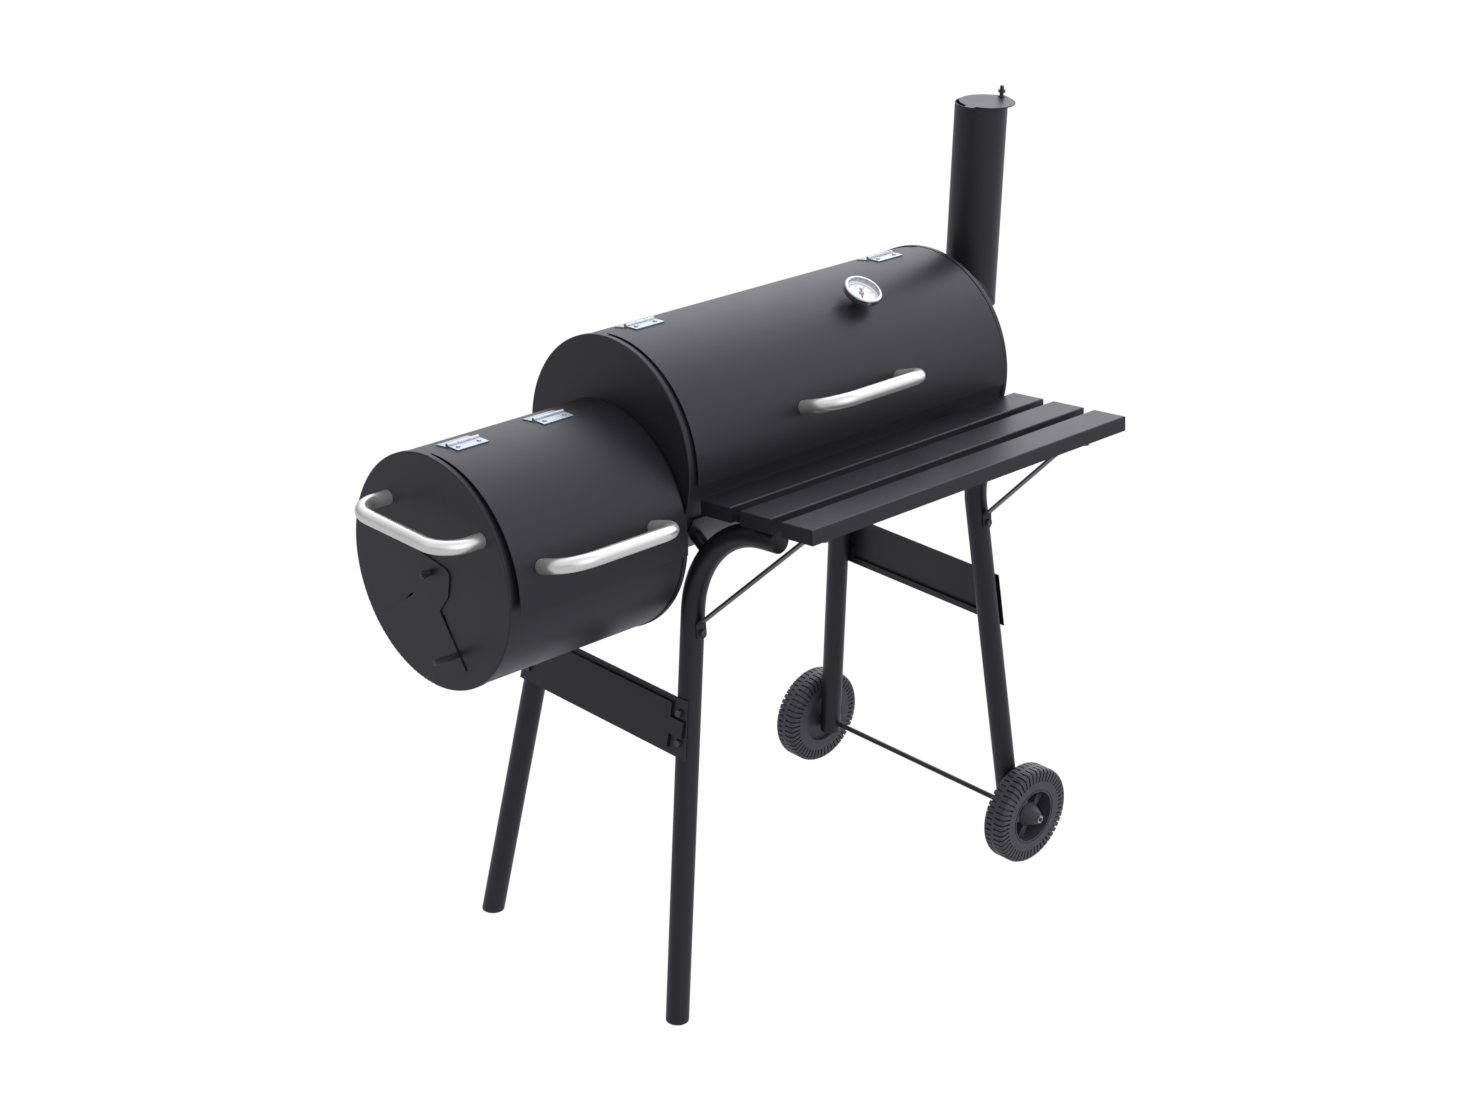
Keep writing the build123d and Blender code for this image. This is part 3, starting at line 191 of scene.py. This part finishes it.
def clear_window(name):
    """Thin flat glass: clear, with only a faint reflection."""
    material, tree, out = new_material(name)
    see = add(tree, "ShaderNodeBsdfTransparent")
    shine = add(tree, "ShaderNodeBsdfGlossy", {"Roughness": 0.05})
    mix = add(tree, "ShaderNodeMixShader", {0: 0.04, 1: see.outputs["BSDF"], 2: shine.outputs["BSDF"]})
    tree.links.new(mix.outputs["Shader"], out.inputs["Surface"])
    return material


# Meshes

def dress(material, *nodes):
    """Gives CAD nodes a finish and smooths their round faces."""
    for name in nodes:
        obj = frame["nodes"][name]
        obj.data.materials.clear()
        obj.data.materials.append(material)
        obj.data.set_sharp_from_angle(angle=SHARP_ANGLE)


def dial_frame():
    """The dial's centre, raised onto its face, with axes to the right, up and out of the lid."""
    joints = frame["record"]["behaviour"]["joints"]
    axis = next(joint["axis"] for joint in joints if joint["name"] == "needle_turn")
    low, high = (Vector(corner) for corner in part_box("thermometer_dial"))
    middle = (low + high) / 2
    out = Vector(axis).normalized()
    right = Vector((0, 0, 1)).cross(out).normalized()
    return middle, right, out.cross(right), out


def arc(bm, inner, outer, start, stop, steps):
    """A flat band between two radii, from one clockwise angle to another."""
    angles = [math.radians(start + (stop - start) * i / steps) for i in range(steps + 1)]
    rims = [[bm.verts.new((r * math.sin(a), r * math.cos(a), 0)) for a in angles] for r in (inner, outer)]
    for i in range(steps):
        bm.faces.new((rims[0][i], rims[0][i + 1], rims[1][i + 1], rims[1][i]))


def figure(bm, text, size, place):
    """Flat printed digits centred on a point of the dial."""
    curve = bpy.data.curves.new("figure", "FONT")
    curve.body = text
    curve.size = size
    curve.align_x, curve.align_y = "CENTER", "CENTER"
    curve.resolution_u = 3
    holder = bpy.data.objects.new("figure", curve)
    mesh = bpy.data.meshes.new_from_object(holder)
    mesh.transform(Matrix.Translation(place))
    bm.from_mesh(mesh)
    bpy.data.objects.remove(holder)
    bpy.data.curves.remove(curve)
    bpy.data.meshes.remove(mesh)


def dial_print():
    """The printed scale: an outer line, ticks, figures and an inner line."""
    bm = bmesh.new()
    arc(bm, *OUTER_LINE, -DIAL_SWEEP, DIAL_SWEEP, 60)
    arc(bm, *INNER_LINE, -DIAL_SWEEP, DIAL_SWEEP, 48)
    for i in range(DIAL_TICKS):
        angle = DIAL_SWEEP * (2 * i / (DIAL_TICKS - 1) - 1)
        tick = SHORT_TICK if i % TICKS_PER_FIGURE else LONG_TICK
        arc(bm, *tick, angle - TICK_HALF_ANGLE, angle + TICK_HALF_ANGLE, 1)
    for i, value in enumerate(DIAL_FIGURES):
        angle = math.radians(DIAL_SWEEP * (2 * i / (len(DIAL_FIGURES) - 1) - 1))
        figure(bm, str(value), FIGURE_SIZE, Vector((math.sin(angle), math.cos(angle), 0)) * FIGURE_RADIUS)
    bmesh.ops.solidify(bm, geom=bm.faces[:], thickness=PRINT_THICKNESS)
    bmesh.ops.recalc_face_normals(bm, faces=bm.faces[:])
    mesh = bpy.data.meshes.new("dial_print")
    bm.to_mesh(mesh)
    bm.free()
    return mesh


# Settings

class SmokerFinish(bpy.types.PropertyGroup):
    barrel: StringProperty(name="Barrel paint", description="Screen colour of the barrels", default="#1a1a1d")
    frame: StringProperty(name="Frame paint", description="Screen colour of the legs and table", default="#18181b")
    roughness: FloatProperty(name="Paint roughness", description="How dull the paint is", default=0.42,
                             min=0.0, max=1.0, subtype="FACTOR")
    peel: FloatProperty(name="Orange peel", description="Depth of the paint's fine grain", default=0.12,
                        min=0.0, max=1.0, subtype="FACTOR")


class SmokerStage(bpy.types.PropertyGroup):
    azimuth: FloatProperty(name="Azimuth", description="Camera's turn round the object",
                           default=math.radians(-44.87), subtype="ANGLE", unit="ROTATION")
    elevation: FloatProperty(name="Elevation", description="Camera's height angle",
                             default=math.radians(23.48), subtype="ANGLE", unit="ROTATION")
    roll: FloatProperty(name="Roll", description="Camera's tilt about its own axis",
                        default=math.radians(1.56), subtype="ANGLE", unit="ROTATION")
    place: FloatVectorProperty(name="Camera place", description="Where the camera stands",
                               default=(-2.46191, -2.47154, 2.10565), size=3, subtype="TRANSLATION", unit="LENGTH")
    lens: FloatProperty(name="Lens", description="Focal length in millimetres", default=65.44, min=1.0)
    light: FloatProperty(name="Light", description="Level of all the studio light", default=1.36, min=0.0)
    bounce: FloatProperty(name="Floor bounce", description="Light thrown up by the white floor", default=0.6,
                          min=0.0)


# Operators

class SmokerStep:
    """Shared parts of every step."""
    bl_options = {"REGISTER", "UNDO"}


class SMOKER_OT_barrels(SmokerStep, bpy.types.Operator):
    """Paints both barrels, their lids and the chimney"""
    bl_idname = "smoker.barrels"
    bl_label = "Barrels"

    def execute(self, context):
        finish = context.scene.smoker_finish
        paint = satin_paint("heat-proof satin paint", finish.barrel, finish.roughness, finish.peel)
        dress(paint, "main_shell", "main_left_cap", "main_right_cap", "main_lid", "firebox_shell",
              "firebox_left_cap", "firebox_right_cap", "firebox_lid", "chimney_pipe", "chimney_neck",
              "chimney_flap", "damper_plate")
        return {"FINISHED"}


class SMOKER_OT_frame(SmokerStep, bpy.types.Operator):
    """Coats the legs, panels, struts, saddles and table slats"""
    bl_idname = "smoker.frame"
    bl_label = "Frame and table"

    def execute(self, context):
        finish = context.scene.smoker_finish
        coat = satin_paint("satin powder coat", finish.frame, finish.roughness, finish.peel)
        dress(coat, "front_left_leg", "front_right_leg", "rear_left_leg", "rear_right_leg", "left_saddles",
              "right_saddles", "saddle_spacers", "left_leg_panel", "right_leg_panel", "left_strut",
              "right_strut", "slat_bars", "inner_slat", "middle_slat", "outer_slat", "axle", "grate_angles")
        return {"FINISHED"}


class SMOKER_OT_fasteners(SmokerStep, bpy.types.Operator):
    """Finishes hinges, bolts, nuts and rivets"""
    bl_idname = "smoker.fasteners"
    bl_label = "Hinges and fasteners"

    def execute(self, context):
        zinc = zinc_plate("bright zinc plate", "#b9bdbf")
        dress(zinc, "main_hinge_lid_leaves", "main_hinge_fixed_leaves", "main_hinge_pins", "main_lid_rivets",
              "firebox_hinge_lid_leaves", "firebox_hinge_fixed_leaves", "firebox_hinge_pins",
              "firebox_lid_rivets", "axle_nuts", "thermometer_stem", "barrel_joint_bolts", "chimney_collar_bolts")
        black = plain("black oxide steel", "#26262a", 0.45)
        dress(black, "leg_panel_bolts", "strut_bolts", "chimney_flap_bolt", "damper_pivot_bolt", "damper_knob")
        return {"FINISHED"}


class SMOKER_OT_handles(SmokerStep, bpy.types.Operator):
    """Finishes the three tube handles"""
    bl_idname = "smoker.handles"
    bl_label = "Handles"

    def execute(self, context):
        steel = brushed_stainless("brushed stainless tube", "#cfcec8")
        dress(steel, "main_lid_handle", "firebox_lid_handle", "carry_handle")
        return {"FINISHED"}


class SMOKER_OT_thermometer(SmokerStep, bpy.types.Operator):
    """Finishes the lid thermometer"""
    bl_idname = "smoker.thermometer"
    bl_label = "Thermometer"

    def execute(self, context):
        dress(plain("polished steel case", "#adadb0", 0.2, 1.0), "thermometer_case")
        dress(plain("white enamel dial", "#f0eff0", 0.5), "thermometer_dial")
        middle, right, up, out = dial_frame()
        hub = frame["nodes"]["thermometer_needle"].matrix_world.inverted() @ middle
        dress(pointer_lacquer("lacquered pointer", hub), "thermometer_needle")
        dress(clear_window("flat glass"), "thermometer_glass")
        mesh = dial_print()
        mesh.materials.append(plain("grey dial print", "#6c6c72", 0.6))
        scale = bpy.data.objects.new("dial_print", mesh)
        raised = Matrix.Translation(middle + out * DIAL_RAISE)
        face = Matrix((right, up, out)).transposed().to_4x4()
        scale.matrix_world = raised @ face @ Matrix.Rotation(-math.radians(DIAL_TURN), 4, "Z")
        bpy.context.scene.collection.objects.link(scale)
        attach(scale, "main_lid")
        return {"FINISHED"}


class SMOKER_OT_wheels(SmokerStep, bpy.types.Operator):
    """Finishes the moulded wheels, feet and plugs"""
    bl_idname = "smoker.wheels"
    bl_label = "Wheels and feet"

    def execute(self, context):
        dress(moulded_plastic("moulded grey plastic", "#353538", 0.5), "front_wheel", "rear_wheel")
        dress(moulded_plastic("moulded black plastic", "#1b1b1d", 0.5), "left_feet", "arm_plugs")
        return {"FINISHED"}


class SMOKER_OT_grates(SmokerStep, bpy.types.Operator):
    """Finishes the wire grates"""
    bl_idname = "smoker.grates"
    bl_label = "Grates"

    def execute(self, context):
        dress(plain("plated wire", "#b9b9b6", 0.3, 1.0), "cooking_grate", "charcoal_grate", "firebox_grate")
        return {"FINISHED"}


class SMOKER_OT_stage(SmokerStep, bpy.types.Operator):
    """Sets the floor, the studio light and the camera"""
    bl_idname = "smoker.stage"
    bl_label = "Stage"

    def execute(self, context):
        stage = context.scene.smoker_stage
        make_floor(stage.light * stage.bounce)
        make_sky(context.scene, stage.azimuth, stage.light)
        make_camera(context.scene, stage)
        context.scene.view_settings.view_transform = "Standard"
        return {"FINISHED"}


def make_floor(bounce):
    """A plain floor, paper white to the camera, that throws soft light up at the object."""
    material, tree, out = new_material("white paper sweep")
    path = add(tree, "ShaderNodeLightPath")
    glow = add(tree, "ShaderNodeEmission", {"Color": linear("#f8f7ff"), "Strength": bounce})
    white = add(tree, "ShaderNodeEmission", {"Color": linear("#ffffff"), "Strength": 1.0})
    mix = add(tree, "ShaderNodeMixShader", {0: path.outputs["Is Camera Ray"], 1: glow.outputs["Emission"],
                                            2: white.outputs["Emission"]})
    tree.links.new(mix.outputs["Shader"], out.inputs["Surface"])
    mesh = bpy.data.meshes.new("floor")
    corners = [(x * FLOOR_REACH, y * FLOOR_REACH, 0) for x, y in ((-1, -1), (1, -1), (1, 1), (-1, 1))]
    mesh.from_pydata(corners, [], [(0, 1, 2, 3)])
    mesh.materials.append(material)
    floor = bpy.data.objects.new("floor", mesh)
    floor.location.z = -FLOOR_DROP
    bpy.context.scene.collection.objects.link(floor)


def soft_light(tree, place, azimuth, turn, height, strength):
    """A broad light from one side: turn is to the camera's right from straight behind the object."""
    side = azimuth - math.radians(turn)
    level = math.cos(math.radians(height))
    aim = (-math.sin(side) * level, math.cos(side) * level, math.sin(math.radians(height)))
    facing = add(tree, "ShaderNodeVectorMath", {0: place, 1: aim}, operation="DOT_PRODUCT").outputs["Value"]
    front = add(tree, "ShaderNodeMath", {0: facing, 1: 0.0}, operation="MAXIMUM").outputs["Value"]
    spread = add(tree, "ShaderNodeMath", {0: front, 1: LIGHT_SPREAD}, operation="POWER").outputs["Value"]
    return add(tree, "ShaderNodeMath", {0: spread, 1: strength}, operation="MULTIPLY").outputs["Value"]


def make_sky(scene, azimuth, level):
    """Soft studio light from a few sides, with a white surround for the camera."""
    world = bpy.data.worlds.new("studio")
    world.use_nodes = True
    tree = world.node_tree
    tree.nodes.clear()
    out = add(tree, "ShaderNodeOutputWorld")
    path = add(tree, "ShaderNodeLightPath")
    place = add(tree, "ShaderNodeTexCoord").outputs["Generated"]
    total = 0.0
    for turn, height, strength in STUDIO:
        light = soft_light(tree, place, azimuth, turn, height, strength * level)
        total = add(tree, "ShaderNodeMath", {0: light, 1: total}, operation="ADD").outputs["Value"]
    soft = add(tree, "ShaderNodeBackground", {"Color": linear("#f7f7ff"), "Strength": total})
    white = add(tree, "ShaderNodeBackground", {"Color": linear("#ffffff"), "Strength": 1.0})
    mix = add(tree, "ShaderNodeMixShader", {0: path.outputs["Is Camera Ray"], 1: soft.outputs["Background"],
                                            2: white.outputs["Background"]})
    tree.links.new(mix.outputs["Shader"], out.inputs["Surface"])
    scene.world = world


def make_camera(scene, stage):
    """The camera at the photograph's view."""
    data = bpy.data.cameras.new("camera")
    data.lens = stage.lens
    data.sensor_width = 36.0
    data.clip_start, data.clip_end = 0.05, 100.0
    a, e = stage.azimuth, stage.elevation
    back = Vector((math.sin(a) * math.cos(e), -math.cos(a) * math.cos(e), math.sin(e)))
    right = Vector((math.cos(a), math.sin(a), 0.0))
    up = back.cross(right)
    level = right * math.cos(stage.roll) + up * math.sin(stage.roll)
    upright = up * math.cos(stage.roll) - right * math.sin(stage.roll)
    camera = bpy.data.objects.new("camera", data)
    camera.matrix_world = Matrix.Translation(stage.place) @ Matrix((level, upright, back)).transposed().to_4x4()
    scene.collection.objects.link(camera)
    scene.camera = camera


class SMOKER_PT_panel(bpy.types.Panel):
    """Settings and steps of the smoker"""
    bl_idname = "SMOKER_PT_panel"
    bl_label = "Offset Smoker"
    bl_space_type = "VIEW_3D"
    bl_region_type = "UI"
    bl_category = "Smoker"

    def draw(self, context):
        for group in (context.scene.smoker_finish, context.scene.smoker_stage):
            box = self.layout.box()
            for key in group.bl_rna.properties.keys():
                if key not in ("rna_type", "name"):
                    box.prop(group, key)
        for step in STEPS:
            self.layout.operator(step.bl_idname)


STEPS = (SMOKER_OT_barrels, SMOKER_OT_frame, SMOKER_OT_fasteners, SMOKER_OT_handles, SMOKER_OT_thermometer,
         SMOKER_OT_wheels, SMOKER_OT_grates, SMOKER_OT_stage)
CLASSES = (SmokerFinish, SmokerStage) + STEPS + (SMOKER_PT_panel,)


def register():
    for cls in CLASSES:
        bpy.utils.register_class(cls)
    bpy.types.Scene.smoker_finish = PointerProperty(type=SmokerFinish)
    bpy.types.Scene.smoker_stage = PointerProperty(type=SmokerStage)


def unregister():
    del bpy.types.Scene.smoker_stage
    del bpy.types.Scene.smoker_finish
    for cls in reversed(CLASSES):
        bpy.utils.unregister_class(cls)


def main():
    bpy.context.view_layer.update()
    register()
    for step in STEPS:
        group, name = step.bl_idname.split(".")
        getattr(getattr(bpy.ops, group), name)()


if __name__ == "__main__":
    main()
